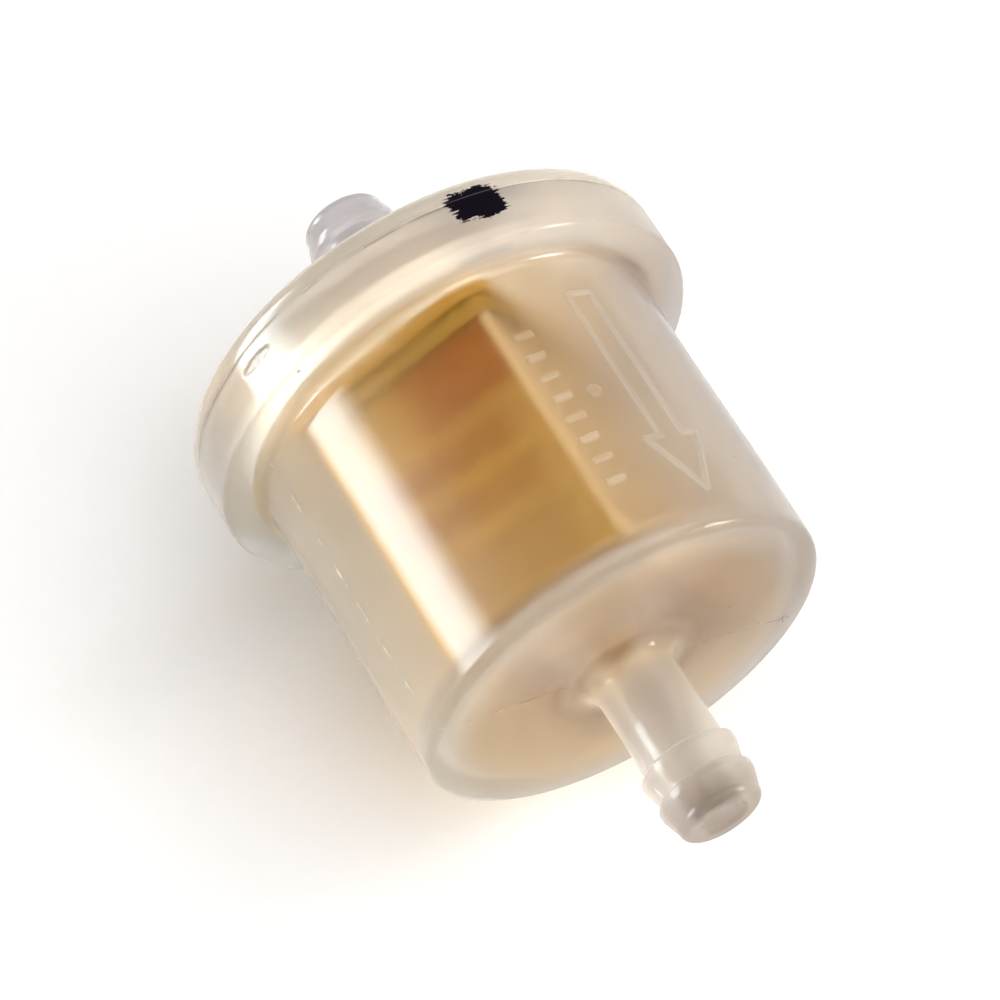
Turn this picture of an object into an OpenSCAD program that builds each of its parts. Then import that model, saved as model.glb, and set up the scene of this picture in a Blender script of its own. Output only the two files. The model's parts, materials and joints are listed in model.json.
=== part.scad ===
// In-line fuel filter for a small engine.
// A nylon cup and a nylon cap are welded together around a pleated paper element.
// Fuel runs along +X: in at the cap's stem, through the paper, out at the cup's stem.
// The origin is on the flow axis, at the middle of the cup's body. +Z is up.
// Outlines are drawn with the radius across and the flow axis upwards, then turned.

/* [Body] */
// Diameter of the body along its straight clip land
body_d = 32; // [31:0.1:33.2]
// Length of the body, from the flange's underside to the outlet face
body_len = 24.9; // [22:0.1:32]
// Thickness of the body wall
wall_t = 1.45; // [1.2:0.05:1.6]
// Thickness of the outlet end wall
end_wall_t = 1.8; // [1.4:0.1:2.4]
// Change in diameter from the clip land to either end of the drafted body
draft_d = 0.22; // [0:0.02:0.4]
// Length of the straight clip land around the middle of the body
land_len = 10; // [6:1:14]
// Rounding of the rim around the outlet face
rim_round = 0.9; // [0.5:0.1:1.4]

/* [Flange and cap] */
// Diameter of the welded flange
flange_d = 38.5; // [37.6:0.1:42]
// Height of the cup's half of the flange, from its underside to the weld seam
flange_h = 4.25; // [4:0.05:6]
// Thickness of the cap's disc
cap_t = 2.15; // [2:0.05:2.8]
// Rounding of the cap's outer edge
cap_round = 1.9; // [0.4:0.1:1.9]
// Rounding of the flange's lower edge
flange_round = 0.45; // [0.2:0.05:0.8]
// Fillet between the flange's underside and the body
neck_fillet = 0.8; // [0.3:0.1:1.2]

/* [Hose stems] */
// Diameter of both stems, for a hose of 6.35 mm bore
stem_d = 6.3; // [5.8:0.1:6.6]
// Length of the outlet stem
outlet_len = 13.4; // [11:0.1:20]
// Length of the inlet stem
inlet_len = 12.4; // [11:0.1:20]
// Diameter of the barbs' crests
barb_d = 7.4; // [6.8:0.1:8.4]
// Distance from one barb's crest to the next one's
barb_pitch = 2.4; // [2.2:0.1:3]
// Length of the straight land on each crest
crest_land = 0.5; // [0.4:0.1:0.8]
// Diameter of the fuel bore
bore_d = 3.3; // [2.6:0.1:4]
// Fillet where a stem leaves the housing
root_fillet = 1.6; // [0.5:0.1:2.5]

/* [Paper element] */
// Width of the pleated pack
pack_w = 15.4; // [13:0.1:15.4]
// Depth of the pleated pack, across its leaves
pack_d = 23.8; // [21:0.1:23.8]
// Number of pockets that the paper strip is folded into
pockets = 5; // [3:1:6]
// Thickness of the crimped paper
paper_t = 0.5; // [0.3:0.1:0.6]
// Turn of the pack about the flow axis, in degrees
pack_turn = 28; // [0:1:90]
// Distance between the spacer ridges pressed across each leaf
ridge_pitch = 4; // [3:0.5:6]

/* [Hidden] */
$fn = 96;
cut = 0.5;

nylon = [0.88, 0.86, 0.82, 0.55];
white_nylon = [0.93, 0.92, 0.88];
paper_brown = [0.66, 0.45, 0.19];
adhesive_yellow = [0.85, 0.64, 0.16];

// Stations along the flow axis
outlet_face = body_len / 2;
flange_face = -body_len / 2;
seam = flange_face - flange_h;
cavity_end = outlet_face - end_wall_t;

// Radii of the body, which narrows towards the outlet
body_r = body_d / 2;
body_r_flange = body_r + draft_d / 2;
body_r_outlet = body_r - draft_d / 2;
cavity_round = 1;

// Socket in the flange that holds the element's frame and the cap's spigot
socket_step = 0.7;
ledge_height = 1.3;
socket_r = body_r + socket_step;
ledge = flange_face - ledge_height;
spigot_gap = 0.1;
spigot_r = socket_r - spigot_gap;
spigot_t = 1.4;
spigot_len = 1.7;

// Stems
stem_r = stem_d / 2;
crest_r = barb_d / 2;
bore_r = bore_d / 2;
tip_step = 0.1;
tip_r = stem_r + tip_step;
tip_round = 0.65;
tip_land = 0.25;
first_barb = barb_pitch + tip_land;
shoulder_slope = 0.25;
shank_step = 0.1;
mouth_chamfer = 0.3;

// Frame of the paper element, with a skirt around the pack's open end
frame_top = seam + spigot_len;
frame_t = ledge - frame_top;
skirt_t = 0.9;
skirt_reach = 0.5;
skirt_gap = 0.2;
skirt_end = flange_face + skirt_reach;
skirt_r = body_r - wall_t - skirt_gap;
bead_len = 1.6;
bead_inset = 0.2;

// Depth of the pack, as far as the round skirt has room for its corners
corner_gap = 0.1;
pack_room = 2 * sqrt(pow(skirt_r - corner_gap, 2) - pow(pack_w / 2, 2));
pack_depth = min(pack_d, pack_room);

// Leaves of the pack, numbered from 0 across its depth. They stay plain for stiff_end beyond the bead
leaves = 2 * pockets;
leaf_pitch = (pack_depth - paper_t) / (leaves - 1);
fold_r = leaf_pitch / 2;
fold_leg = 3;
pack_inset = 0.3;
pack_end_gap = 0.9;
pack_top = frame_top + pack_inset;
pack_end = cavity_end - pack_end_gap;
top_fold = pack_top + fold_r + paper_t / 2;
end_fold = pack_end - fold_r - paper_t / 2;
ridge_height = 0.3;
ridge_r = paper_t / 2 + ridge_height;
stiff_end = 7.75;
first_ridge = skirt_end + bead_len + stiff_end;
ridge_count = floor((end_fold - first_ridge) / ridge_pitch) + 1;
seal_w = 0.8;
ridge_end_gap = 0.3;
ridge_len = pack_w - 2 * (seal_w + ridge_end_gap);

function leaf_at(i) = -pack_depth / 2 + paper_t / 2 + i * leaf_pitch;

// Turns an outline about the flow axis
module revolve() {
  rotate([0, 90, 0]) rotate_extrude(angle = 360) children();
}

// Puts a shape drawn as depth, width and flow into the turned pack's place
module in_pack() {
  rotate([pack_turn, 0, 0]) rotate([0, 90, 0]) children();
}

// Outline of a disc of radius r between two heights, with its upper corner rounded
module disc_outline(r, low, high, round) {
  translate([0, low]) square([r, high - low - round]);
  translate([0, low]) square([r - round, high - low]);
  translate([r - round, high - round]) circle(round);
}

// Outline of the concave fillet in the corner above a face at height 0 and outside radius r
module fillet_outline(r, size) {
  difference() {
    translate([r - size / 2, -cut]) square([1.5 * size, size + cut]);
    translate([r + size, size]) circle(size);
  }
}

// Outline of one barb: a steep shoulder, a straight crest and a ramp to radius end_r
module barb_outline(crest, ramp_end, end_r) {
  polygon([
    [0, crest - shoulder_slope],
    [stem_r, crest - shoulder_slope],
    [crest_r, crest],
    [crest_r, crest + crest_land],
    [end_r, ramp_end],
    [0, ramp_end]
  ]);
}

// Outline of a hose stem that stands on height 0
module stem_outline(length) {
  front = length - first_barb;
  rear = front - barb_pitch;
  translate([0, -cut]) square([stem_r, front + 2 * cut]);
  fillet_outline(stem_r, root_fillet);
  barb_outline(rear, front, stem_r + shank_step);
  barb_outline(front, length - tip_round, tip_r);
  disc_outline(tip_r, length - 2 * tip_round, length, tip_round);
}

// Outline of a stem's bore, from below height 0 by depth to its chamfered mouth
module bore_outline(length, depth) {
  translate([0, -depth]) square([bore_r, length + depth + cut]);
  polygon([
    [0, length - mouth_chamfer - bore_r],
    [bore_r + mouth_chamfer + cut, length + cut],
    [0, length + cut]
  ]);
}

// Outline of the cup's outside: flange, neck, drafted wall with its clip land, and rounded rim
module cup_outline() {
  disc_outline(flange_d / 2, seam, flange_face, flange_round);
  polygon([
    [0, flange_face - cut],
    [body_r_flange, flange_face - cut],
    [body_r_flange, flange_face],
    [body_r, -land_len / 2],
    [body_r, land_len / 2],
    [body_r_outlet, outlet_face - rim_round],
    [0, outlet_face - rim_round]
  ]);
  disc_outline(body_r_outlet, outlet_face - 2 * rim_round, outlet_face, rim_round);
  translate([0, flange_face]) fillet_outline(body_r_flange, neck_fillet);
}

// Outline of the space inside the cup, with the socket at its open end
module cavity_outline() {
  polygon([
    [0, seam - cut],
    [socket_r, seam - cut],
    [socket_r, ledge],
    [body_r_flange - wall_t, ledge],
    [body_r_outlet - wall_t, cavity_end - cavity_round],
    [0, cavity_end - cavity_round]
  ]);
  disc_outline(body_r_outlet - wall_t, cavity_end - 2 * cavity_round, cavity_end, cavity_round);
}

module outlet_cup() {
  color(nylon) revolve() difference() {
    union() {
      cup_outline();
      translate([0, outlet_face]) stem_outline(outlet_len);
    }
    cavity_outline();
    translate([0, outlet_face]) bore_outline(outlet_len, end_wall_t + cut);
  }
}

// The cap's outline is drawn upwards from the seam and mirrored, since its stem points to -X
module inlet_cap() {
  color(nylon) revolve() translate([0, seam]) mirror([0, 1]) difference() {
    union() {
      disc_outline(flange_d / 2, 0, cap_t, cap_round);
      translate([spigot_r - spigot_t, -spigot_len]) square([spigot_t, spigot_len + cut]);
      translate([0, cap_t]) stem_outline(inlet_len);
    }
    translate([0, cap_t]) bore_outline(inlet_len, cap_t + cut);
  }
}

// Section of a sleeve around the pack, thick by t and trimmed to the round cavity
module sleeve_section(t) {
  intersection() {
    square([pack_depth + 2 * t, pack_w + 2 * t], center = true);
    circle(skirt_r);
  }
}

module element_frame() {
  color(white_nylon) in_pack() difference() {
    union() {
      translate([0, 0, frame_top]) cylinder(r = spigot_r, h = frame_t);
      translate([0, 0, ledge - cut]) linear_extrude(skirt_end - ledge + cut) sleeve_section(skirt_t);
    }
    translate([-pack_depth / 2, -pack_w / 2, frame_top - cut])
      cube([pack_depth, pack_w, skirt_end - frame_top + 2 * cut]);
  }
}

module frame_adhesive() {
  color(adhesive_yellow) in_pack() translate([0, 0, skirt_end]) linear_extrude(bead_len)
    difference() {
      sleeve_section(skirt_t - bead_inset);
      square([pack_depth, pack_w], center = true);
    }
}

// Section of a slot with one round end of radius r, which points the way that side says
module slot_section(r, side, length) {
  circle(r);
  translate([-r, side > 0 ? -length : 0]) square([2 * r, length]);
}

// Section of a fold and of the stretch of both leaves next to it
module fold_section(side) {
  difference() {
    slot_section(fold_r + paper_t / 2, side, fold_leg);
    slot_section(fold_r - paper_t / 2, side, fold_leg + cut);
  }
}

// Section of the folded strip, with depth across and flow upwards
module strip_section() {
  for (i = [0 : leaves - 1]) {
    low = i == 0 || i == leaves - 1 ? frame_top : top_fold;
    translate([leaf_at(i) - paper_t / 2, low]) square([paper_t, end_fold - low]);
  }
  for (i = [0 : 2 : leaves - 2]) translate([leaf_at(i) + fold_r, end_fold]) fold_section(1);
  for (i = [1 : 2 : leaves - 3]) translate([leaf_at(i) + fold_r, top_fold]) fold_section(-1);
}

// Section of the spacer ridges on every leaf
module ridge_section() {
  for (i = [0 : leaves - 1])
    for (k = [0 : ridge_count - 1])
      translate([leaf_at(i), first_ridge + k * ridge_pitch]) circle(ridge_r);
}

// Extrudes a section of depth and flow across the pack's width
module across_width(length) {
  rotate([90, 0, 0]) linear_extrude(length, center = true) children();
}

module pleated_paper() {
  color(paper_brown) in_pack() {
    across_width(pack_w) strip_section();
    across_width(ridge_len) ridge_section();
  }
}

// One adhesive strip in every pocket, along the pack's edge that side points to
module edge_seals(side) {
  gap_r = fold_r - paper_t / 2;
  color(adhesive_yellow) in_pack() translate([0, side * (pack_w - seal_w) / 2, 0])
    across_width(seal_w)
      for (i = [0 : 2 : leaves - 2])
        translate([leaf_at(i) + fold_r, end_fold]) slot_section(gap_r, 1, end_fold - pack_top);
}

module left_edge_seals() {
  edge_seals(-1);
}

module right_edge_seals() {
  edge_seals(1);
}

outlet_cup();
inlet_cap();
element_frame();
pleated_paper();
frame_adhesive();
left_edge_seals();
right_edge_seals();
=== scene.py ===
"""Looks of the in-line fuel filter.

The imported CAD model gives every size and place. The two nylon shells, the paper and the adhesive
bead are remade here with finer surfaces; the element's frame and the edge seals stay CAD nodes.
Lengths in this script are millimetres until a mesh is written. A place on the housing is given by
x along the flow axis, the radius, and the clock: degrees from +Z towards +Y.
"""

import json
import math

import bpy
import numpy as np
from mathutils import Matrix, Vector


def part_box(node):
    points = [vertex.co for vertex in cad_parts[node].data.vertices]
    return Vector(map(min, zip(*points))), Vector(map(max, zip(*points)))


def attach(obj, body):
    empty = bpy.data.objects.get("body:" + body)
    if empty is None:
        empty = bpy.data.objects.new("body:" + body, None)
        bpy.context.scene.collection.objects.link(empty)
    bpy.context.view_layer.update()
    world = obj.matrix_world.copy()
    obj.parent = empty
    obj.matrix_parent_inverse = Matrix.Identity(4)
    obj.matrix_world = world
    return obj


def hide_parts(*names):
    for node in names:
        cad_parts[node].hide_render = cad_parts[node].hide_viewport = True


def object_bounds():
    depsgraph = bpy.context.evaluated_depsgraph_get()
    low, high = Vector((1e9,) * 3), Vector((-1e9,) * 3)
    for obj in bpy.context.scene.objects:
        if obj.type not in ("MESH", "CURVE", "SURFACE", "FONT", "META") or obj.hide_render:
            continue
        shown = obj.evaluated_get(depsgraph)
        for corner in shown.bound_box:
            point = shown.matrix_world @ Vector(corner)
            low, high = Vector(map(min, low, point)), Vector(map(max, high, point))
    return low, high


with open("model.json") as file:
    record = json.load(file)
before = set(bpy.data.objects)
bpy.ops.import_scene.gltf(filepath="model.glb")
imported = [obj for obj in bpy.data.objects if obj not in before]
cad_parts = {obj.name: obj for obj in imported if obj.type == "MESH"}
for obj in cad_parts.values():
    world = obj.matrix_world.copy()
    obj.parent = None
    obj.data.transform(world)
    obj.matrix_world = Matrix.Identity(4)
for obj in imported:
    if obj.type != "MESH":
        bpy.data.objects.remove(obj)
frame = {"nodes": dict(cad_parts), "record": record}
cad_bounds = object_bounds()

MM = 0.001
MOUNTS = {m["name"]: m for m in frame["record"]["mounts"]}


def flow_ends(node):
    """Lowest and highest x of a CAD node."""
    low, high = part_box(node)
    return low[0] / MM, high[0] / MM


def mount_x(name):
    return MOUNTS[name]["pos_m"][0] / MM


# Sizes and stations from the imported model
SEAM, TIP = flow_ends("outlet_cup")
INLET_TIP, SPIGOT_END = flow_ends("inlet_cap")
BEAD_START, BEAD_END = flow_ends("frame_adhesive")
PAPER_START, PAPER_END = flow_ends("pleated_paper")
FLANGE_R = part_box("outlet_cup")[1][2] / MM
FLANGE_FACE = mount_x("flange_seat")
OUTLET_FACE = -FLANGE_FACE
BODY_R = MOUNTS["body_band"]["dims"]["r_mm"]
LAND = MOUNTS["body_band"]["dims"]["length_mm"]
CREST_R = MOUNTS["outlet_barb"]["dims"]["r_mm"]
CREST_LAND = MOUNTS["outlet_barb"]["dims"]["length_mm"]
BORE_R = MOUNTS["outlet_port"]["dims"]["r_mm"]
PORT_LEN = MOUNTS["outlet_port"]["dims"]["length_mm"]
CAVITY_END = mount_x("outlet_port") - PORT_LEN / 2
LEDGE = flow_ends("element_frame")[0] + (SPIGOT_END - SEAM)

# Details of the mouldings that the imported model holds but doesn't name
DRAFT = 0.11
WALL = 1.45
RIM_ROUND = 0.9
FLANGE_ROUND = 0.45
NECK_FILLET = 0.8
CAVITY_ROUND = 1.0
CAP_T = 2.15
CAP_ROUND = 1.9
STEM_R = 3.15
SHANK_R = 3.25
BARB_PITCH = 2.4
FIRST_BARB = 2.65
SHOULDER = 0.25
ROOT_FILLET = 1.6
TIP_ROUND = 0.65
MOUTH = 0.3
SOCKET_R = BODY_R + 0.7
SPIGOT_R = BODY_R + 0.6
SPIGOT_T = 1.4
SEAM_BEVEL = 0.1
EDGE = 0.15

# The photograph's view
AZIMUTH, ELEVATION = 61.19, 59.68
DISTANCE = 261.7
LENS = 130.8
AIM = (-3.25, -1.65, 1.20)
FACING = -15.7

# Clocks of the marks on the housing
PARTING = FACING - 58.0
ARROW = FACING + 44.0
TICKS = FACING + 22.5
PIP = FACING + 31.0
GOUGE = FACING - 32.8
INK = FACING + 26.0

# Middles of the gouge and the ink dab, as x
GOUGE_X = SEAM + 1.25
INK_X = SEAM + 0.75

# Colours on the nylon
# The next three are painted light and shade on the body's flanks: a warm glow, a sheen beside the
# highlight, and shade
PAINTED_WARM_GLOW = (0.76, 0.67, 0.54)
PAINTED_SHEEN_BAND = (0.95, 0.85, 0.72)
SHADED_FLANK = (0.57, 0.49, 0.42)
STEM_TINT = (0.78, 0.74, 0.70)
TIP_TINT = (0.47, 0.41, 0.37)
INLET_TINT = (0.62, 0.59, 0.595)
# Amber of the end wall: partly fuel stain, partly a painted glow of the paper behind
STAIN_AND_AMBER_GLOW = (0.58, 0.42, 0.22)
ROOT_TINT = (0.95, 0.86, 0.74)
# Pale raised marks: thicker milky nylon and a painted highlight
MARK_MILK_AND_SHEEN = (0.95, 0.93, 0.90)
PALE_END_LINE = (0.93, 0.90, 0.85)
DARK_SPECK = (0.10, 0.07, 0.05)
SEAM_DIRT = (0.36, 0.27, 0.18)
GOUGE_GREY = (0.20, 0.18, 0.17)
INK_BLACK = (0.004, 0.002, 0.006)
# Painted reflection of the ink dab
PAINTED_INK_REFLECTION = (0.42, 0.47, 0.53)

# Colours on the paper
LEFT_EDGE = (0.38, 0.235, 0.03)
RIGHT_EDGE = (0.46, 0.34, 0.19)

# Strength of the sky as light, and as the camera sees it
SKY_LIGHT = 0.12
SKY_SEEN = 1.05


# ---------------------------------------------------------------- outlines and revolved meshes


def unit(v):
    return v / np.linalg.norm(v)


def rounded(corners):
    """Points (x, r) of a closed outline, as an array.

    Each corner is (x, r, rounding, spacing of the points from it to the next corner).
    """
    arcs = []
    for k, (x, r, rounding, spacing) in enumerate(corners):
        here = np.array((x, r))
        to_last = unit(np.array(corners[k - 1][:2]) - here)
        to_next = unit(np.array(corners[(k + 1) % len(corners)][:2]) - here)
        half = math.acos(max(-1, min(1, to_last @ to_next))) / 2
        bend = math.pi - 2 * half
        if not rounding or bend < 0.02:
            arcs.append(([here], spacing))
            continue
        centre = here + unit(to_last + to_next) * rounding / math.sin(half)
        start = here + to_last * rounding / math.tan(half) - centre
        end = here + to_next * rounding / math.tan(half) - centre
        ts = np.linspace(0, 1, max(3, round(bend / math.radians(8))) + 1)
        arc = [
            centre + (math.sin((1 - t) * bend) * start + math.sin(t * bend) * end) / math.sin(bend)
            for t in ts
        ]
        arcs.append((arc, spacing))
    pts = []
    for k, (arc, spacing) in enumerate(arcs):
        after = arcs[(k + 1) % len(arcs)][0][0]
        pts += arc
        n = max(round(np.linalg.norm(after - arc[-1]) / spacing), 1)
        pts += [arc[-1] + (after - arc[-1]) * i / n for i in range(1, n)]
    return np.array(pts)


def stem_corners(base, tip):
    """Corners of a stem from its root at x = base to its bore's mouth at x = tip."""
    s = 1 if tip > base else -1
    length = abs(tip - base)
    front = length - FIRST_BARB
    rear = front - BARB_PITCH
    corners = [
        (0, STEM_R, ROOT_FILLET, 0.5),
        (rear - SHOULDER, STEM_R, 0.12, 0.2),
        (rear, CREST_R, EDGE, 0.2),
        (rear + CREST_LAND, CREST_R, 0.8, 0.25),
        (front - SHOULDER, SHANK_R + 0.02, 0.12, 0.2),
        (front, CREST_R, EDGE, 0.2),
        (front + CREST_LAND, CREST_R, 0.8, 0.25),
        (length - TIP_ROUND - 0.1, SHANK_R, 0.3, 0.2),
        (length, SHANK_R, TIP_ROUND, 0.2),
        (length, BORE_R + MOUTH, 0.1, 0.2),
        (length - MOUTH, BORE_R, 0.1, 1.0),
    ]
    return [(base + s * x, r, rounding, spacing) for x, r, rounding, spacing in corners]


def cup_outline():
    """The cup's outline, from its seam face round the outside and back through the inside."""
    r_flange, r_outlet, land = BODY_R + DRAFT, BODY_R - DRAFT, LAND / 2
    return rounded([
        (SEAM, SOCKET_R, 0, 0.6),
        (SEAM, FLANGE_R, SEAM_BEVEL, 0.12),
        (FLANGE_FACE, FLANGE_R, FLANGE_ROUND, 0.4),
        (FLANGE_FACE, r_flange, NECK_FILLET, 0.16),
        (-land, BODY_R, 0, 0.16),
        (land, BODY_R, 0, 0.16),
        (OUTLET_FACE, r_outlet, RIM_ROUND, 0.3),
        *stem_corners(OUTLET_FACE, TIP),
        (CAVITY_END, BORE_R, 0.1, 1.5),
        (CAVITY_END, r_outlet - WALL, CAVITY_ROUND, 1.5),
        (LEDGE, r_flange - WALL, 0.1, 0.6),
        (LEDGE, SOCKET_R, 0, 1.0),
    ])


def cap_outline():
    """The cap's outline, from its seam face round the outside and back through the bore."""
    top = SEAM - CAP_T
    return rounded([
        (SEAM, SPIGOT_R, 0, 0.6),
        (SEAM, FLANGE_R, SEAM_BEVEL, 0.12),
        (top, FLANGE_R, CAP_ROUND, 0.5),
        *stem_corners(top, INLET_TIP),
        (SEAM, BORE_R, 0.1, 1.5),
        (SEAM, SPIGOT_R - SPIGOT_T, 0.1, 0.6),
        (SPIGOT_END, SPIGOT_R - SPIGOT_T, 0.1, 0.6),
        (SPIGOT_END, SPIGOT_R, 0.1, 0.6),
    ])


COARSE_STEP = 1.5
MARK_STEP = 0.33
LINE_STEP = 0.125


def clocks(*bands):
    """Column clocks round the housing, finer inside each band (centre, half width, step)."""
    cols = list(np.arange(0, 360, COARSE_STEP))
    for centre, half, step in bands:
        cols = [c for c in cols if abs((c - centre + 180) % 360 - 180) > half + step]
        cols += [(centre + d) % 360 for d in np.arange(-half, half + step / 2, step)]
    return np.array(sorted(cols))


def smoothstep(low, high, value):
    t = np.clip((value - low) / (high - low), 0, 1)
    return t * t * (3 - 2 * t)


def turn_between(clock, centre):
    """Degrees from centre to clock, between -180 and 180."""
    return (clock - centre + 180) % 360 - 180


def arrow_distance(u, v):
    """Distance from each point to the flow arrow's outline; u runs along the flow, v across it."""
    tail, neck, point, half, head = -8.8, 4.4, 9.2, 1.0, 2.3
    upper = [(tail, half), (neck, half), (neck, head), (point, 0)]
    corners = upper + [(neck, -head), (neck, -half), (tail, -half)]
    best = np.full(u.shape, 99.0)
    for (ax, ay), (bx, by) in zip(corners, corners[1:] + corners[:1]):
        ex, ey = bx - ax, by - ay
        t = np.clip(((u - ax) * ex + (v - ay) * ey) / (ex * ex + ey * ey), 0, 1)
        best = np.minimum(best, np.hypot(u - ax - t * ex, v - ay - t * ey))
    return best


def wave(t, seed):
    """A smooth repeatable wobble between about -1 and 1."""
    rates = (1.0, 2.3, 4.1, 7.7, 13.1)
    phases = np.random.default_rng(seed).uniform(0, 6.28, len(rates))
    waves = enumerate(zip(rates, phases))
    return sum(np.sin(t * rate + phase) / (k + 1.5) for k, (rate, phase) in waves) / 1.6


ARROW_HEIGHT = 0.20
TICK_HEIGHT = 0.14
TICK_COUNT = 8
TICK_PITCH = 1.85
PIP_HEIGHT = 0.12
LINE_HEIGHT = 0.055
GOUGE_DEPTH = 0.16


def cup_relief(x, r, clock):
    """Height of the marks on the cup's outside along its normal; the gouge is below 0."""
    height = np.zeros(x.shape)
    body = (x > FLANGE_FACE + 1.2) & (x < OUTLET_FACE - RIM_ROUND) & (r > BODY_R - 0.4)
    arc_of = np.radians(1.0) * BODY_R
    # Flow arrow, drawn as a raised line
    v = turn_between(clock, ARROW) * arc_of
    line = 1 - smoothstep(0.12, 0.30, arrow_distance(x, v))
    height += np.where(body, ARROW_HEIGHT * line, 0)
    # Row of short raised bars
    v = turn_between(clock, TICKS) * arc_of
    for k in range(TICK_COUNT):
        du = np.abs(x + 6.4 - TICK_PITCH * k) - 0.02
        dv = np.abs(v) - 0.55
        d = np.hypot(np.maximum(du, 0), np.maximum(dv, 0))
        height += np.where(body, TICK_HEIGHT * (1 - smoothstep(0.10, 0.26, d)), 0)
    # Round pip
    d = np.hypot(turn_between(clock, PIP) * arc_of, x + 0.5)
    height += np.where(body, PIP_HEIGHT * (1 - smoothstep(0.35, 0.62, d)), 0)
    # Parting line of the mould, broken here and there
    outside = (x > FLANGE_FACE + 0.4) & (r > BORE_R + 0.8)
    outside &= r > np.where(x < CAVITY_END, BODY_R - 1.2, 0)
    for centre, seed in ((PARTING, 3), (PARTING + 180, 4)):
        d = np.abs(turn_between(clock, centre)) * np.radians(1) * np.maximum(r, 3)
        strength = smoothstep(-0.15, 0.55, wave(1.9 * x + 2.6 * r, seed))
        line = LINE_HEIGHT * strength * (1 - smoothstep(0.03, 0.12, d))
        height += np.where(outside, line, 0)
    # Gouge in the flange's wall
    wall = (x > SEAM + 0.3) & (x < FLANGE_FACE - 0.5) & (r > FLANGE_R - 0.2)
    u = turn_between(clock, GOUGE) * np.radians(1) * FLANGE_R
    w = x - GOUGE_X
    lens = 1 - (u / 1.75) ** 2 - (w / 0.42) ** 2
    cut = GOUGE_DEPTH * smoothstep(0, 0.6, lens)
    cut = cut + 0.03 * smoothstep(0, 0.3, lens) * wave(9 * u + 5 * w, 8)
    lip = 0.02 * np.exp(-(((lens + 0.15) / 0.18) ** 2))
    height += np.where(wall, lip - cut, 0)
    return height


def revolved(name, outline, columns, relief=None):
    """A closed mesh of revolution about the flow axis.

    relief gives how far each point moves along the outline's own normal. It is also kept as a
    point attribute, for the material.
    """
    pts = outline
    n, m = len(pts), len(columns)
    before, after = np.roll(pts, 1, axis=0), np.roll(pts, -1, axis=0)
    ta, tb = pts - before, after - pts
    ta /= np.linalg.norm(ta, axis=1)[:, None]
    tb /= np.linalg.norm(tb, axis=1)[:, None]
    tangent = ta + tb
    tangent /= np.maximum(np.linalg.norm(tangent, axis=1), 1e-6)[:, None]
    area = 0.5 * np.sum(pts[:, 0] * after[:, 1] - after[:, 0] * pts[:, 1])
    side = 1 if area < 0 else -1
    normal = side * np.c_[-tangent[:, 1], tangent[:, 0]]
    x = np.repeat(pts[:, 0], m).reshape(n, m)
    r = np.repeat(pts[:, 1], m).reshape(n, m)
    clock = np.tile(columns, n).reshape(n, m)
    h = np.zeros(x.shape) if relief is None else relief(x, r, clock)
    x = x + h * normal[:, :1]
    r = r + h * normal[:, 1:]
    a = np.radians(clock)
    verts = np.stack([x, r * np.sin(a), r * np.cos(a)], axis=-1).reshape(-1, 3) * MM
    i, j = np.meshgrid(np.arange(n), np.arange(m), indexing="ij")
    i2, j2 = (i + 1) % n, (j + 1) % m
    quads = np.stack([i * m + j, i * m + j2, i2 * m + j2, i2 * m + j], axis=-1).reshape(-1, 4)
    if side > 0:
        quads = quads[:, ::-1]
    piece = mesh_object(name, verts, quads)
    piece.data.attributes.new("relief", "FLOAT", "POINT").data.foreach_set("value", h.ravel())
    return piece


def mesh_object(name, verts, faces, sharp=32):
    """A new smooth-shaded object; edges sharper than sharp degrees stay crisp."""
    mesh = bpy.data.meshes.new(name)
    mesh.from_pydata([tuple(v) for v in verts], [], [tuple(int(k) for k in f) for f in faces])
    mesh.validate()
    mesh.shade_smooth()
    mesh.set_sharp_from_angle(angle=math.radians(sharp))
    piece = bpy.data.objects.new(name, mesh)
    bpy.context.collection.objects.link(piece)
    return piece


def weigh_normals(piece):
    """Keeps large flat faces flat in shading beside their rounded edges."""
    mod = piece.modifiers.new("weighted_normals", "WEIGHTED_NORMAL")
    mod.keep_sharp = True
    mod.weight = 70


# ---------------------------------------------------------------- material building blocks


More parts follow.
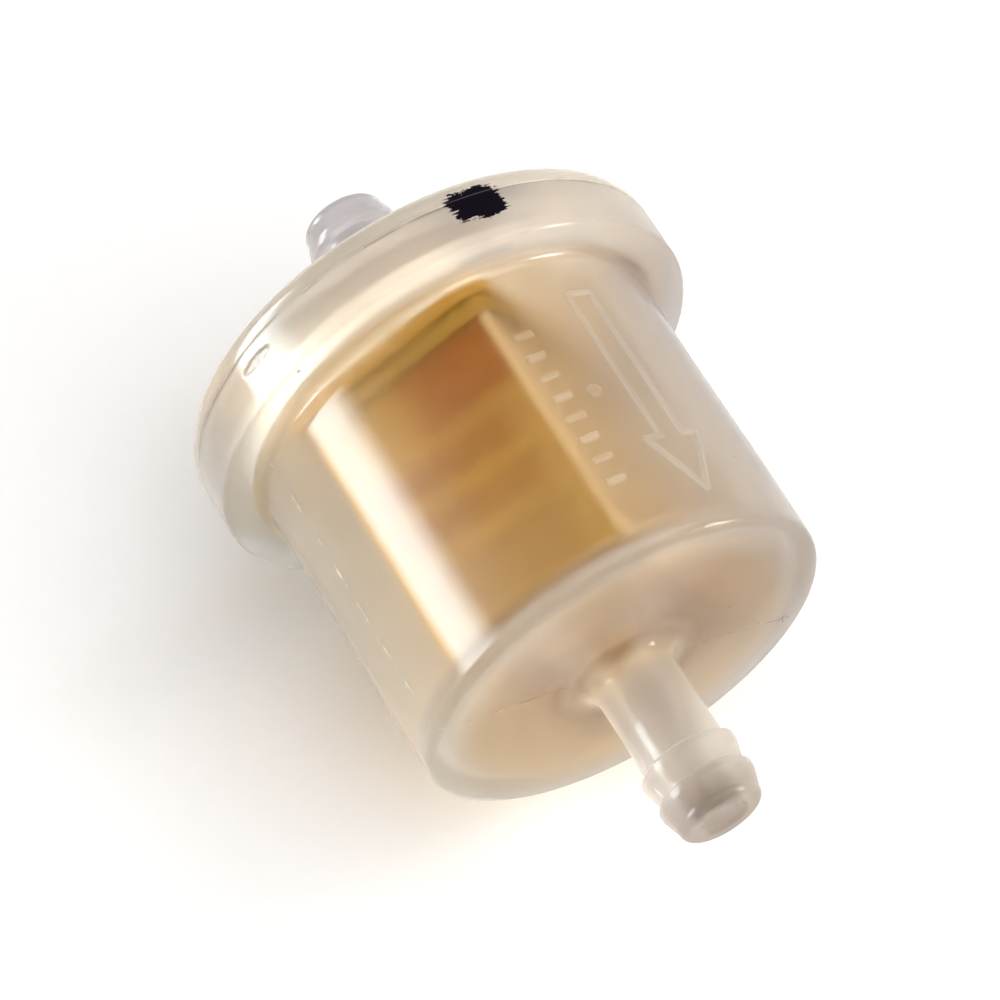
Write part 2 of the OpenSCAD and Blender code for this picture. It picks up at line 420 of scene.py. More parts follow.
class Nodes:
    """Short calls for building one material's node tree."""

    def __init__(self, name):
        self.material = bpy.data.materials.new(name)
        self.material.use_nodes = True
        self.tree = self.material.node_tree
        self.tree.nodes.clear()
        self.out = self.add("ShaderNodeOutputMaterial")
        self.place = self.add("ShaderNodeTexCoord").outputs["Object"]

    def add(self, kind, **settings):
        node = self.tree.nodes.new(kind)
        for key, value in settings.items():
            setattr(node, key, value)
        return node

    def link(self, source, target):
        self.tree.links.new(source, target)

    def feed(self, socket, value):
        """Sets a socket to a number or colour, or links another socket to it."""
        if isinstance(value, bpy.types.NodeSocket):
            self.link(value, socket)
        elif isinstance(value, tuple) and len(value) == 3 and socket.type == "RGBA":
            socket.default_value = (*value, 1)
        else:
            socket.default_value = value

    def math(self, operation, a, b=0.0, c=0.0, clamp=False):
        node = self.add("ShaderNodeMath", operation=operation, use_clamp=clamp)
        for socket, value in zip(node.inputs, (a, b, c)):
            self.feed(socket, value)
        return node.outputs[0]

    def times(self, a, b):
        return self.math("MULTIPLY", a, b)

    def plus(self, a, b):
        return self.math("ADD", a, b)

    def minus(self, a, b):
        return self.math("SUBTRACT", a, b)

    def size_of(self, a):
        return self.math("ABSOLUTE", a)

    def mix(self, factor, a, b):
        node = self.add("ShaderNodeMix", data_type="RGBA")
        self.feed(node.inputs["Factor"], factor)
        self.feed(node.inputs["A"], a)
        self.feed(node.inputs["B"], b)
        return node.outputs["Result"]

    def ramp(self, value, low, high, out_low=0.0, out_high=1.0):
        """Goes smoothly from out_low at low to out_high at high, and is level beyond them."""
        node = self.add("ShaderNodeMapRange", interpolation_type="SMOOTHSTEP")
        keys = ("Value", "From Min", "From Max", "To Min", "To Max")
        for key, v in zip(keys, (value, low, high, out_low, out_high)):
            self.feed(node.inputs[key], v)
        return node.outputs["Result"]

    def noise(self, scale, detail=3.0, rough=0.5, vector=None):
        node = self.add("ShaderNodeTexNoise")
        self.link(vector or self.place, node.inputs["Vector"])
        for key, v in (("Scale", scale), ("Detail", detail), ("Roughness", rough)):
            node.inputs[key].default_value = v
        return node.outputs["Fac"]

    def bump(self, height, distance, strength=1.0, normal=None):
        node = self.add("ShaderNodeBump")
        self.feed(node.inputs["Height"], height)
        node.inputs["Distance"].default_value = distance
        node.inputs["Strength"].default_value = strength
        if normal is not None:
            self.link(normal, node.inputs["Normal"])
        return node.outputs["Normal"]

    def housing_place(self):
        """x along the flow, the radius, and the clock in degrees, of the shaded point, in mm."""
        split = self.add("ShaderNodeSeparateXYZ")
        self.link(self.place, split.inputs[0])
        x = self.times(split.outputs["X"], 1 / MM)
        y = self.times(split.outputs["Y"], 1 / MM)
        z = self.times(split.outputs["Z"], 1 / MM)
        r = self.math("SQRT", self.plus(self.times(y, y), self.times(z, z)))
        clock = self.times(self.math("ARCTAN2", y, z), 180 / math.pi)
        return x, r, clock

    def join(self, x, y, z=0.0):
        node = self.add("ShaderNodeCombineXYZ")
        for socket, value in zip(node.inputs, (x, y, z)):
            self.feed(socket, value)
        return node.outputs[0]

    def principled(self, **sockets):
        node = self.add("ShaderNodeBsdfPrincipled")
        for key, value in sockets.items():
            self.feed(node.inputs[key.replace("_", " ")], value)
        return node


def near(n, value, centre, half, soft):
    """1 where value is within half of centre, fading to 0 over soft."""
    return n.ramp(n.size_of(n.minus(value, centre)), half, half + soft, 1.0, 0.0)


def stroke(n, u, v, start, end, half, soft):
    """1 within half of the segment from start to end in the plane (u, v), fading to 0 over soft."""
    ex, ey = end[0] - start[0], end[1] - start[1]
    du, dv = n.minus(u, start[0]), n.minus(v, start[1])
    t = n.math("DIVIDE", n.plus(n.times(du, ex), n.times(dv, ey)), ex * ex + ey * ey, clamp=True)
    du, dv = n.minus(du, n.times(t, ex)), n.minus(dv, n.times(t, ey))
    away = n.math("SQRT", n.plus(n.times(du, du), n.times(dv, dv)))
    return n.ramp(away, half, half + soft, 1.0, 0.0)


# Fine scratches on the end wall, from start to end, each (across, upward) in mm from the axis
END_NICKS = (
    ((10.2, -6.9), (11.9, -8.1)),
    ((10.9, -7.9), (11.7, -7.4)),
    ((11.3, -8.3), (11.5, -7.2)),
    ((8.35, -0.75), (8.45, -0.7)),
)


def oval(n, u, v, half_u, half_v, power):
    """Grows from 0 at the middle of an oval to 1 on its edge."""
    u_share = n.math("POWER", n.size_of(n.math("DIVIDE", u, half_u)), power)
    return n.plus(u_share, n.math("POWER", n.size_of(n.math("DIVIDE", v, half_v)), power))


def nylon(name, tint, haze, see, milk):
    """Milky natural nylon: part of the light scatters in the wall, the rest passes, blurred.

    tint is the wall's colour, haze the colour that lamps take on as they reach the inside, see
    the share of light that passes through, and milk the share that scatters.
    """
    n = Nodes(name)
    x, r, clock = n.housing_place()
    relief = n.add("ShaderNodeAttribute", attribute_name="relief").outputs["Fac"]
    cloud = n.noise(90.0, detail=4.0, rough=0.6)
    streaks = n.join(n.times(x, 0.0006), n.times(r, 0.004), n.times(clock, 0.0005))
    flow = n.noise(45.0, detail=2.0, vector=streaks)
    colour = n.mix(n.ramp(cloud, 0.3, 0.7), tint, tuple(c * 0.95 for c in tint))
    lighter = tuple(min(c * 1.08, 1) for c in tint)
    colour = n.mix(n.ramp(flow, 0.45, 0.75, 0.0, 0.25), colour, lighter)

    # Painted light and shade round the body, fixed to it by the clock from the side that faces the
    # camera: a painted warm glow on the left flank, a painted sheen beside the highlight, painted
    # shade on the right flank
    turn = n.math("WRAP", n.minus(clock, FACING), 180.0, -180.0)
    away = n.size_of(turn)
    on_body = n.times(n.ramp(x, SEAM - 0.1, SEAM + 0.6), n.ramp(away, 175.0, 130.0))
    colour = n.mix(n.times(on_body, n.ramp(turn, -50.0, -72.0)), colour, PAINTED_WARM_GLOW)
    colour = n.mix(near(n, turn, -47.0, 5.0, 9.0), colour, PAINTED_SHEEN_BAND)
    colour = n.mix(n.times(on_body, n.ramp(turn, 60.0, 78.0)), colour, SHADED_FLANK)

    # The stems and the flange are greyer than the body
    on_stem = n.times(n.ramp(x, CAVITY_END - 0.5, OUTLET_FACE + 0.2), n.ramp(r, 6.5, 4.5))
    colour = n.mix(n.ramp(x, OUTLET_FACE + 0.6, OUTLET_FACE + 2.5), colour, STEM_TINT)
    colour = n.mix(n.ramp(x, TIP - 4.2, TIP - 0.4), colour, TIP_TINT)
    colour = n.mix(n.ramp(x, SEAM - CAP_T - 0.6, SEAM - CAP_T - 2.5), colour, INLET_TINT)
    beyond_body = n.ramp(r, BODY_R + 0.3, BODY_R + 1.5)
    on_flange = n.times(beyond_body, n.ramp(x, FLANGE_FACE + 0.6, FLANGE_FACE - 0.3))
    on_flange = n.times(on_flange, n.ramp(x, SEAM - 0.1, SEAM + 0.1))
    # Grey flange, darker and bluer about 28 degrees right of the camera side: painted shade that
    # damps a bright patch there
    flange_grey_and_shade = n.mix(near(n, turn, 28.0, 6.0, 12.0), (0.75, 0.74, 0.76), (0.62, 0.62, 0.67))
    colour = n.mix(on_flange, colour, flange_grey_and_shade)

    # The end wall: painted light towards the camera side and painted shade away from it, with an
    # amber tint, strongest away from the camera side, that is partly fuel stain and partly a
    # painted glow of the paper behind; its rim is pale
    on_end = n.times(n.ramp(x, CAVITY_END - 0.4, CAVITY_END + 0.1), n.ramp(r, 15.4, 15.0))
    on_end = n.times(on_end, n.ramp(x, OUTLET_FACE + 1.2, OUTLET_FACE + 0.3))
    end_light_and_shade = n.mix(n.ramp(away, 20.0, 110.0), (0.97, 0.89, 0.78), (0.54, 0.48, 0.41))
    colour = n.mix(on_end, colour, end_light_and_shade)
    stain_and_glow = n.times(n.ramp(r, 14.4, 11.2), n.ramp(r, 3.0, 4.8))
    stain_and_glow = n.times(stain_and_glow, n.ramp(away, 15.0, 70.0, 0.15, 1.0))
    colour = n.mix(n.times(on_end, stain_and_glow), colour, STAIN_AND_AMBER_GLOW)
    root = n.times(n.ramp(r, 6.0, 4.5), near(n, x, OUTLET_FACE, 0.8, 1.2))
    colour = n.mix(root, colour, ROOT_TINT)
    on_rim = n.times(n.ramp(x, OUTLET_FACE - 2.4, OUTLET_FACE - 1.0), n.ramp(r, 13.6, 15.0))
    rim_tint = n.mix(n.ramp(turn, -20.0, 60.0), (0.65, 0.62, 0.60), (0.76, 0.72, 0.69))
    colour = n.mix(on_rim, colour, rim_tint)

    # Raised marks scatter more light; their pale colour is also a painted highlight
    marks = n.ramp(relief, 0.015, 0.07)
    colour = n.mix(n.times(marks, 0.8), colour, MARK_MILK_AND_SHEEN)

    # A pale line and scratches on the end wall
    across = n.times(r, n.math("SINE", n.math("RADIANS", turn)))
    upward = n.times(r, n.math("COSINE", n.math("RADIANS", turn)))
    on_face = n.ramp(x, OUTLET_FACE - 0.3, OUTLET_FACE - 0.1)
    pale_line = n.times(stroke(n, across, upward, (2.1, 9.6), (1.95, 4.8), 0.06, 0.22), on_face)
    colour = n.mix(n.times(pale_line, 0.7), colour, PALE_END_LINE)
    nicks = 0.0
    for start, end in END_NICKS:
        nicks = n.math("MAXIMUM", nicks, stroke(n, across, upward, start, end, 0.03, 0.05))
    colour = n.mix(n.times(n.times(nicks, on_face), 0.8), colour, DARK_SPECK)

    # Dirt in the weld seam
    seam = near(n, x, SEAM, 0.06, 0.18)
    broken = n.ramp(n.noise(260.0, detail=3.0, rough=0.7), 0.42, 0.62, 0.25, 1.0)
    outside = n.ramp(r, FLANGE_R - 0.5, FLANGE_R - 0.3)
    dirt = n.times(n.times(seam, broken), outside)
    colour = n.mix(n.times(dirt, 0.5), colour, SEAM_DIRT)

    # Fine specks
    cell = n.add("ShaderNodeTexVoronoi", feature="F1")
    n.link(n.place, cell.inputs["Vector"])
    cell.inputs["Scale"].default_value = 260.0
    speck = n.ramp(cell.outputs["Distance"], 0.03, 0.06, 1.0, 0.0)
    rare = n.ramp(n.noise(120.0, detail=1.0), 0.62, 0.65)
    specks = n.times(n.times(speck, rare), n.ramp(r, 4.0, 5.0))
    colour = n.mix(n.times(specks, 0.8), colour, DARK_SPECK)

    # Grey, rough floor of the gouge
    u = n.times(n.minus(clock, GOUGE), math.radians(1) * FLANGE_R)
    w = n.minus(x, GOUGE_X)
    lens = oval(n, u, w, 1.7, 0.4, 2)
    gouge = n.times(n.ramp(lens, 0.6, 1.05, 1.0, 0.0), outside)
    scratch = n.ramp(n.noise(900.0, detail=2.0, vector=n.join(w, n.times(u, 0.25))), 0.35, 0.65)
    colour = n.mix(n.times(gouge, n.times(scratch, 0.8)), colour, GOUGE_GREY)

    # Ink dabbed across the seam, with dry streaks at its ends
    iu = n.times(n.minus(clock, INK), math.radians(1) * FLANGE_R)
    iw = n.minus(x, INK_X)
    edge_noise = n.minus(n.noise(800.0, detail=8.0, rough=0.75), 0.5)
    bristles = n.join(n.times(iu, 0.6), n.times(iw, 6.5))
    streak = n.minus(n.noise(1.0, detail=4.0, rough=0.65, vector=bristles), 0.5)
    dry = n.ramp(n.size_of(iu), 0.9, 2.2, 1.2, 3.4)
    blob = oval(n, iu, iw, 2.05, 1.4, 2.6)
    blob = n.plus(blob, n.times(n.minus(n.noise(330.0, detail=1.0), 0.5), 2.4))
    blob = n.plus(blob, n.times(edge_noise, 3.0))
    blob = n.plus(blob, n.times(streak, dry))
    ink = n.times(n.ramp(blob, 0.95, 1.08, 1.0, 0.0), outside)
    colour = n.mix(ink, colour, INK_BLACK)
    # Painted reflection of the ink dab on the flange's underside
    ink_reflection = n.times(near(n, r, 18.1, 0.25, 0.4), near(n, turn, 23.0, 5.0, 3.0))
    ink_reflection = n.times(ink_reflection, near(n, x, FLANGE_FACE, 0.1, 0.1))
    colour = n.mix(n.times(ink_reflection, 0.6), colour, PAINTED_INK_REFLECTION)

    # Surface: faint moulding texture and hairline scratches
    fine = n.noise(1500.0, detail=2.0)
    swell = n.noise(140.0, detail=2.0)
    hair = n.noise(1.0, detail=2.0, vector=n.join(n.times(x, 7.0), n.times(clock, 0.04), r))
    hairs = n.ramp(hair, 0.70, 0.74)
    normal = n.bump(fine, 0.000012, 0.5)
    normal = n.bump(swell, 0.00016, 0.35, normal)
    normal = n.bump(hairs, 0.000015, 0.4, normal)
    rough = n.ramp(swell, 0.3, 0.7, 0.44, 0.52)
    rough = n.plus(rough, n.times(gouge, 0.25))
    solid = n.math("MAXIMUM", ink, n.times(specks, 0.8))
    facing = n.add("ShaderNodeLayerWeight")
    facing.inputs["Blend"].default_value = 0.5
    edge_on = n.math("POWER", facing.outputs["Facing"], 6.0)
    through = n.times(n.minus(see, n.times(edge_on, 0.5)), n.minus(1.0, solid))

    shell = n.principled(
        Base_Color=colour,
        Roughness=rough,
        IOR=1.2,
        Specular_Tint=(0.1, 0.1, 0.1),
        Transmission_Weight=through,
        Coat_Weight=1.0,
        Coat_Roughness=0.08,
        Coat_IOR=1.3,
        Normal=normal,
    )
    glow = n.add("ShaderNodeBsdfTranslucent")
    n.feed(glow.inputs["Color"], colour)
    milky = n.add("ShaderNodeMixShader")
    cloudy = n.plus(milk, n.times(edge_on, 0.30))
    cloudy = n.plus(cloudy, n.times(n.math("MAXIMUM", marks, on_rim), 0.25))
    cloudy = n.plus(cloudy, n.times(on_stem, 0.32))
    cloudy = n.plus(cloudy, n.times(on_flange, n.ramp(turn, 25.0, 60.0, 0.05, 0.38)))
    n.feed(milky.inputs[0], n.times(cloudy, n.minus(1.0, solid)))
    n.link(shell.outputs[0], milky.inputs[1])
    n.link(glow.outputs[0], milky.inputs[2])
    # Lamps reach the inside through the wall
    clear = n.add("ShaderNodeBsdfTransparent")
    n.feed(clear.inputs["Color"], haze)
    rays = n.add("ShaderNodeLightPath")
    both = n.add("ShaderNodeMixShader")
    n.link(rays.outputs["Is Shadow Ray"], both.inputs[0])
    n.link(milky.outputs[0], both.inputs[1])
    n.link(clear.outputs[0], both.inputs[2])
    n.link(both.outputs[0], n.out.inputs["Surface"])
    return n.material


# Lighter stripes across the paper: x of the middle, half width, strength
PALE_STRIPES = ((-4.6, 0.6, 0.6), (-0.75, 0.6, 0.65), (3.3, 1.0, 0.7), (8.8, 1.4, 0.6))


def filter_paper():
    """Resin-cured filter paper: warm brown and fibrous, darkest next to the bead, with painted
    light towards its left and right sides.
    """
    n = Nodes("filter_paper")
    fibre = n.noise(1400.0, detail=6.0, rough=0.7)
    cloud = n.noise(160.0, detail=3.0)
    x, r, clock = n.housing_place()
    # Along the leaf: dark next to the bead, then lighter stripes between the ridges
    sideways = n.times(r, n.math("SINE", n.math("RADIANS", n.plus(clock, 28.0))))
    wobble = n.times(n.minus(n.noise(120.0, detail=2.0), 0.5), 0.6)
    along = n.minus(n.plus(x, wobble), n.times(sideways, 0.08))
    pale = 0.0
    for middle, half, strength in PALE_STRIPES:
        stripe = n.times(near(n, along, middle, half * 0.4, 1.1), strength)
        pale = n.math("MAXIMUM", pale, stripe)
    pale = n.math("MAXIMUM", pale, n.ramp(x, -3.0, 9.0, 0.0, 0.3))
    dark = n.mix(n.ramp(cloud, 0.3, 0.7), (0.235, 0.076, 0.002), (0.19, 0.058, 0.001))
    light = n.mix(n.ramp(cloud, 0.3, 0.7), (0.33, 0.19, 0.022), (0.28, 0.155, 0.018))
    # Painted light, golden, on the leaf's left part near the bead
    painted_left_light = n.times(n.ramp(sideways, 2.0, -3.5), n.ramp(x, -2.0, -7.0))
    dark = n.mix(painted_left_light, dark, (0.28, 0.155, 0.004))
    dark = n.mix(n.ramp(x, -5.0, -2.5), dark, (0.215, 0.088, 0.003))
    colour = n.mix(pale, dark, light)
    colour = n.mix(n.ramp(x, -2.0, 9.0, 0.0, 0.6), colour, (0.28, 0.185, 0.070))
    # Painted light towards the leaf's right edge
    painted_right_light = n.times(n.ramp(sideways, 3.5, 6.5, 0.0, 0.45), n.ramp(x, -7.0, -2.0))
    colour = n.mix(painted_right_light, colour, (0.38, 0.25, 0.07))
    colour = n.mix(n.ramp(fibre, 0.35, 0.7, 0.0, 0.2), colour, (0.36, 0.22, 0.05))
    # The long edges are soaked with their adhesive
    colour = n.mix(n.ramp(sideways, 6.7, 7.2), colour, RIGHT_EDGE)
    colour = n.mix(n.ramp(sideways, -6.7, -7.2), colour, LEFT_EDGE)
    normal = n.bump(fibre, 0.00006, 0.6)
    shade = n.principled(Base_Color=colour, Roughness=0.85, Specular_IOR_Level=0.25, Normal=normal)
    n.link(shade.outputs[0], n.out.inputs["Surface"])
    return n.material


def adhesive(name, bright, deep):
    """Hot-melt adhesive, waxy and a little uneven."""
    n = Nodes(name)
    cloud = n.noise(300.0, detail=3.0)
    colour = n.mix(n.ramp(cloud, 0.3, 0.7), bright, deep)
    normal = n.bump(cloud, 0.0002, 0.5)
    shade = n.principled(Base_Color=colour, Roughness=0.5, Subsurface_Weight=0.2, Normal=normal)
    shade.inputs["Subsurface Radius"].default_value = (1.0, 0.6, 0.2)
    shade.inputs["Subsurface Scale"].default_value = 0.0006
    n.link(shade.outputs[0], n.out.inputs["Surface"])
    return n.material


def frame_nylon():
    """White nylon of the element's frame; its skirt is yellow-brown."""
    n = Nodes("frame_nylon")
    grain = n.noise(500.0, detail=4.0)
    colour = n.mix(n.ramp(grain, 0.3, 0.7), (0.74, 0.70, 0.62), (0.66, 0.61, 0.52))
    x, r, clock = n.housing_place()
    skirt = n.times(n.ramp(x, LEDGE - 0.1, LEDGE + 0.3), n.ramp(grain, 0.2, 0.5, 0.75, 1.0))
    colour = n.mix(skirt, colour, (0.35, 0.195, 0.006))
    normal = n.bump(grain, 0.00005, 0.4)
    shade = n.principled(Base_Color=colour, Roughness=0.45, Normal=normal)
    n.link(shade.outputs[0], n.out.inputs["Surface"])
    return n.material


def floor_paper():
    """Near-white matt backdrop with a trace of tooth."""
    n = Nodes("floor_paper")
    tooth = n.noise(700.0, detail=2.0)
    colour = n.mix(tooth, (0.93, 0.93, 0.93), (0.95, 0.95, 0.95))
    # Away from the filter, where the soft boxes hardly reach, it glows instead of turning grey
    reach = n.add("ShaderNodeVectorMath", operation="LENGTH")
    n.link(n.place, reach.inputs[0])
    glow = n.ramp(reach.outputs["Value"], 0.10, 0.75, 0.0, 0.90)
    shade = n.principled(
        Base_Color=colour,
        Roughness=0.9,
        Specular_IOR_Level=0.1,
        Normal=n.bump(tooth, 0.00002, 0.2),
        Emission_Color=(1.0, 1.0, 1.0),
        Emission_Strength=glow,
    )
    n.link(shade.outputs[0], n.out.inputs["Surface"])
    return n.material


# ---------------------------------------------------------------- paper pack and adhesive bead

PACK_TURN = math.radians(28)
PACK_W = 15.4
PACK_D = 23.8
LEAVES = 10
PAPER_T = 0.5
LEAF_PITCH = (PACK_D - PAPER_T) / (LEAVES - 1)
FOLD_R = LEAF_PITCH / 2
TOP_FOLD = PAPER_START + 0.3 + FOLD_R + PAPER_T / 2
END_FOLD = PAPER_END - FOLD_R - PAPER_T / 2
RIDGES = [BEAD_END + 7.75 + 4 * k for k in range(3)]
BEAD_STEP = 0.5
BEAD_LIMIT_R = 14.4


def in_pack(depth, width, flow):
    """Housing coordinates of points given by depth towards the near face, width, and x."""
    c, s = math.cos(PACK_TURN), math.sin(PACK_TURN)
    return np.stack([flow, -depth * s + width * c, depth * c + width * s], axis=-1)


def strip_route():
    """Centre line of the folded strip as rows of (depth, x), fold by fold."""
    pts = []
    for leaf in range(LEAVES):
        d = PACK_D / 2 - PAPER_T / 2 - leaf * LEAF_PITCH
        down = leaf % 2 == 0
        low = PAPER_START if leaf in (0, LEAVES - 1) else TOP_FOLD
        n = int((END_FOLD - low) / 0.25)
        run = np.linspace(low, END_FOLD, n) if down else np.linspace(END_FOLD, low, n)
        pts += [(d, f) for f in run]
        if leaf == LEAVES - 1:
            break
        centre, at = d - FOLD_R, END_FOLD if down else TOP_FOLD
        for a in np.linspace(0, math.pi, 11)[1:-1]:
            lift = FOLD_R * math.sin(a)
            pts.append((centre + FOLD_R * math.cos(a), at + lift if down else at - lift))
    return np.array(pts)


def paper_pack():
    """The pleated strip as one sheet with pressed ridges, slightly buckled leaves and thickness."""
    route = strip_route()
    widths = np.linspace(-PACK_W / 2, PACK_W / 2, 41)
    flow = route[:, 1]
    ridge = sum(np.exp(-(((flow - x) / 0.75) ** 2)) for x in RIDGES)
    # Nearer the glued end the leaf stands stiff; further on it gives a little
    slack = smoothstep(RIDGES[0] - 3, END_FOLD, flow)
    verts = []
    for w in widths:
        edge = 1 - smoothstep(PACK_W / 2 - 1.2, PACK_W / 2 - 0.2, abs(w))
        buckle = 0.10 * wave(flow * 0.8 + w * 0.9, 11) * slack
        out = 0.28 * (ridge - 0.35) * slack ** 0.25 * (0.45 + 0.55 * edge) + buckle
        sign = np.sign(route[:, 0])
        d = route[:, 0] + sign * out * 0.6
        d = np.clip(d, -PACK_D / 2 + PAPER_T / 2, PACK_D / 2 - PAPER_T / 2)
        verts.append(in_pack(d, np.full(len(d), w), flow))
    verts = np.array(verts)
    m, n = verts.shape[:2]
    verts = verts.reshape(-1, 3) * MM
    faces = [
        (a * n + b, a * n + b + 1, (a + 1) * n + b + 1, (a + 1) * n + b)
        for a in range(m - 1)
        for b in range(n - 1)
    ]
    piece = mesh_object("paper_pack", verts, faces, sharp=60)
    thick = piece.modifiers.new("thickness", "SOLIDIFY")
    thick.thickness = PAPER_T * MM
    thick.offset = 0
    return piece


def adhesive_bead():
    """The uneven bead round the pack's open end, trimmed by the cup's wall."""
    half_d, half_w = PACK_D / 2, PACK_W / 2
    x_mid, x_half = (BEAD_START + BEAD_END) / 2, (BEAD_END - BEAD_START) / 2
    corner = 0.8
    loop = []
    for cd, cw, start in ((1, 1, 0), (-1, 1, 90), (-1, -1, 180), (1, -1, 270)):
        for a in np.radians(np.linspace(start, start + 90, 6)):
            nd, nw = math.cos(a), math.sin(a)
            d, w = cd * (half_d - corner) + corner * nd, cw * (half_w - corner) + corner * nw
            loop.append((d, w, nd, nw))
    # Extra points along the straight sides
    dense = []
    for p, q in zip(loop, loop[1:] + loop[:1]):
        steps = max(int(math.dist(p[:2], q[:2]) / BEAD_STEP), 1)
        p, q = np.array(p), np.array(q)
        dense += [p + (q - p) * k / steps for k in range(steps)]
    dense = np.array(dense)
    length = np.r_[0, np.cumsum(np.linalg.norm(np.diff(dense[:, :2], axis=0), axis=1))]
    around = np.linspace(0, 2 * math.pi, 15)[:-1]
    rings = []
    for (d, w, nd, nw), s in zip(dense, length):
        size = 0.62 + 0.10 * wave(s * 0.9, 21)
        out = -0.12 + size * np.minimum(1, 0.75 + 0.75 * np.cos(around))
        f = x_mid + (x_half - 0.1 + 0.1 * wave(s * 1.3, 22)) * np.sin(around)
        pd, pw = d + nd * out, w + nw * out
        reach = np.hypot(pd, pw)
        limit = np.minimum(1, BEAD_LIMIT_R / reach)
        rings.append(in_pack(pd * limit, pw * limit, f))
    rings = np.array(rings)
    m, n = rings.shape[:2]
    faces = [
        (a * n + b, a * n + (b + 1) % n, (a + 1) % m * n + (b + 1) % n, (a + 1) % m * n + b)
        for a in range(m)
        for b in range(n)
    ]
    return mesh_object("adhesive_bead", rings.reshape(-1, 3) * MM, faces, sharp=80)


# ---------------------------------------------------------------- camera, light and stage


def direction(azimuth, elevation):
    a, e = math.radians(azimuth), math.radians(elevation)
    return Vector((math.sin(a) * math.cos(e), -math.cos(a) * math.cos(e), math.sin(e)))


def make_camera():
    data = bpy.data.cameras.new("camera")
    data.sensor_width = 36
    data.lens = LENS
    data.clip_start, data.clip_end = 0.01, 10
    camera = bpy.data.objects.new("camera", data)
    bpy.context.collection.objects.link(camera)
    back = direction(AZIMUTH, ELEVATION)
    camera.location = (Vector(AIM) + back * DISTANCE) * MM
    camera.rotation_mode = "QUATERNION"
    camera.rotation_quaternion = (-back).to_track_quat("-Z", "Y")
    bpy.context.scene.camera = camera


def soft_box(name, towards, distance, size, radiance, glossy_only=False, matt_only=False):
    """A soft box that the filter sees in the direction towards, its height along the flow."""
    data = bpy.data.lights.new(name, "AREA")
    data.shape = "RECTANGLE"
    data.size, data.size_y = size[0] * MM, size[1] * MM
    data.energy = radiance * math.pi * data.size * data.size_y
    lamp = bpy.data.objects.new(name, data)
    bpy.context.collection.objects.link(lamp)
    back = Vector(towards).normalized()
    across = back.cross(Vector((1, 0, 0))).normalized()
    along = across.cross(back)
    lamp.matrix_world = Matrix((across, along, back)).transposed().to_4x4()
    lamp.location = back * distance * MM
    lamp.visible_diffuse = not glossy_only
    lamp.visible_transmission = not glossy_only
    lamp.visible_glossy = not matt_only
    return data


def fade_across(lamp):
    """Fades a soft box quickly at one edge and slowly from its middle to the other."""
    lamp.use_nodes = True
    tree = lamp.node_tree
    place = tree.nodes.new("ShaderNodeNewGeometry")
    split = tree.nodes.new("ShaderNodeSeparateXYZ")
    tree.links.new(place.outputs["Parametric"], split.inputs[0])
    both = tree.nodes.new("ShaderNodeMath")
    both.operation = "MULTIPLY"
    for k, (start, end, low, high) in enumerate(((0.0, 0.22, 0.15, 1.0), (0.5, 1.0, 1.0, 0.0))):
        fade = tree.nodes.new("ShaderNodeMapRange")
        fade.interpolation_type = "SMOOTHSTEP"
        tree.links.new(split.outputs["X"], fade.inputs["Value"])
        keys = ("From Min", "From Max", "To Min", "To Max")
        for key, value in zip(keys, (start, end, low, high)):
            fade.inputs[key].default_value = value
        tree.links.new(fade.outputs["Result"], both.inputs[k])
    tree.links.new(both.outputs[0], tree.nodes["Emission"].inputs["Strength"])


def make_world():
    """A dim sky; the camera itself sees it as a pale backdrop beyond the floor."""
    world = bpy.data.worlds.new("studio")
    world.use_nodes = True
    tree = world.node_tree
    background = tree.nodes["Background"]
    background.inputs["Color"].default_value = (1.0, 0.99, 0.98, 1)
    rays = tree.nodes.new("ShaderNodeLightPath")
    strength = tree.nodes.new("ShaderNodeMapRange")
    tree.links.new(rays.outputs["Is Camera Ray"], strength.inputs["Value"])
    strength.inputs["To Min"].default_value = SKY_LIGHT
    strength.inputs["To Max"].default_value = SKY_SEEN
    tree.links.new(strength.outputs["Result"], background.inputs["Strength"])
    bpy.context.scene.world = world


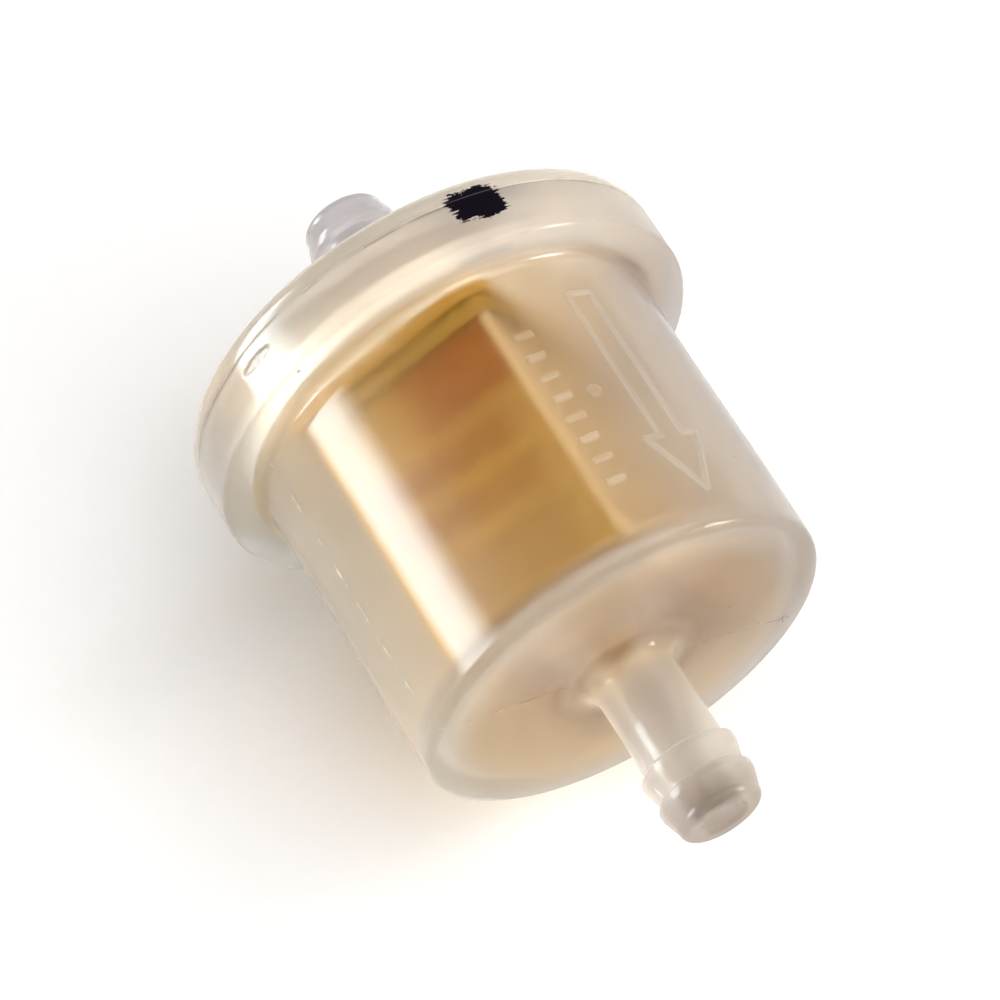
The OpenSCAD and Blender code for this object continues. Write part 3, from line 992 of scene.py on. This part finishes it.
def make_light():
    strip = soft_box("strip", (-0.442, -0.868, 0.226), 400, (235, 500), 27.0, glossy_only=True)
    strip.color = (0.86, 0.97, 1.0)
    fade_across(strip)
    soft_box("glint", (0.580, 0.782, 0.229), 400, (100, 100), 32.0, glossy_only=True)
    soft_box("left_fill", (-0.30, -0.85, 0.45), 500, (300, 400), 1.6, matt_only=True)
    soft_box("main", (0.35, 0.25, 0.90), 600, (700, 700), 3.2)
    soft_box("top", (0.01, 0.63, 0.776), 500, (200, 200), 3.0)


FLOOR_HALF = 3.0  # metres


def make_stage():
    half = FLOOR_HALF
    level = cad_bounds[0][2]
    verts = [(-half, -half, level), (half, -half, level), (half, half, level), (-half, half, level)]
    floor = mesh_object("floor", verts, [(0, 1, 2, 3)])
    floor.data.materials.append(floor_paper())


# ---------------------------------------------------------------- assembly


def finish_piece(piece, node, material):
    piece.data.materials.append(material)
    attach(piece, "root")
    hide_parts(node)


def set_material(node, material):
    for slot in frame["nodes"][node].material_slots:
        slot.material = material


def make_filter():
    cup_columns = clocks(
        (ARROW, 9.0, MARK_STEP),
        (TICKS, 3.2, MARK_STEP),
        (PIP, 2.6, MARK_STEP),
        (GOUGE, 6.6, MARK_STEP),
        (PARTING, 0.75, LINE_STEP),
        (PARTING + 180, 0.75, LINE_STEP),
    )
    cup = revolved("cup_shell", cup_outline(), cup_columns, cup_relief)
    weigh_normals(cup)
    cup_nylon = nylon("nylon_cup", (0.85, 0.79, 0.70), (0.90, 0.84, 0.76), 1.0, 0.0)
    finish_piece(cup, "outlet_cup", cup_nylon)
    cap = revolved("cap_shell", cap_outline(), clocks())
    weigh_normals(cap)
    cap_nylon = nylon("nylon_cap", (0.88, 0.82, 0.74), (0.90, 0.87, 0.83), 0.85, 0.15)
    finish_piece(cap, "inlet_cap", cap_nylon)
    finish_piece(paper_pack(), "pleated_paper", filter_paper())
    yellow = adhesive("yellow_adhesive", (0.27, 0.155, 0.004), (0.22, 0.125, 0.003))
    finish_piece(adhesive_bead(), "frame_adhesive", yellow)
    amber = adhesive("amber_adhesive", (0.42, 0.26, 0.035), (0.36, 0.21, 0.02))
    set_material("left_edge_seals", amber)
    pale = adhesive("pale_adhesive", (0.52, 0.40, 0.24), (0.46, 0.34, 0.19))
    set_material("right_edge_seals", pale)
    set_material("element_frame", frame_nylon())


bpy.context.scene.view_settings.view_transform = "Standard"
make_camera()
make_world()
make_light()
make_stage()
make_filter()
